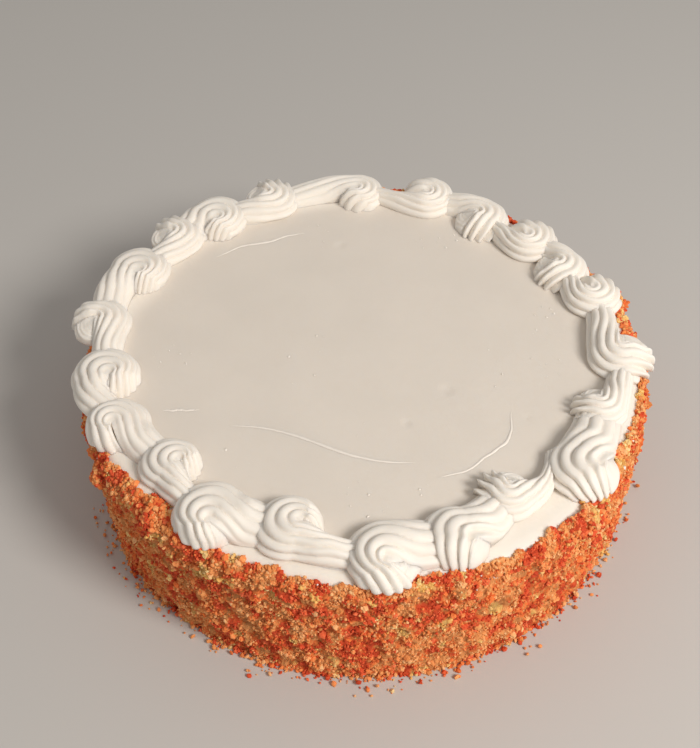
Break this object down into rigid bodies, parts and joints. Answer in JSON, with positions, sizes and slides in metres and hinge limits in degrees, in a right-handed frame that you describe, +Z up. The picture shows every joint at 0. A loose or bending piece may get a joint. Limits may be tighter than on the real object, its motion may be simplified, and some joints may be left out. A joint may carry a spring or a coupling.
{
  "type": "ice cream cake",
  "caption": "Uncut round ice cream cake with a smooth whipped cream top, a reverse-shell piped border round the rim and a coat of coarse crumbs on its side.",
  "frame": {"origin": "on the table under the middle of the cake's bounding box", "axes": "+Z up; the side nearest the camera in the picture faces -Y"},
  "size_m": [0.275, 0.2676, 0.0822],
  "materials": {
    "whipped_cream": "soft satin whipped cream",
    "crumb_coat": "rough dry crumbs"
  },
  "bodies": {
    "root": {"cake_body": "crumb_coat", "cream_cap": "whipped_cream", "shell_01": "whipped_cream", "shell_02": "whipped_cream", "shell_03": "whipped_cream", "shell_04": "whipped_cream", "shell_05": "whipped_cream", "shell_06": "whipped_cream", "shell_07": "whipped_cream", "shell_08": "whipped_cream", "shell_09": "whipped_cream", "shell_10": "whipped_cream", "shell_11": "whipped_cream", "shell_12": "whipped_cream", "shell_13": "whipped_cream", "shell_14": "whipped_cream", "shell_15": "whipped_cream", "shell_16": "whipped_cream", "shell_17": "whipped_cream", "shell_18": "whipped_cream", "shell_19": "whipped_cream", "shell_20": "whipped_cream", "shell_21": "whipped_cream", "shell_22": "whipped_cream"}
  },
  "joints": []
}
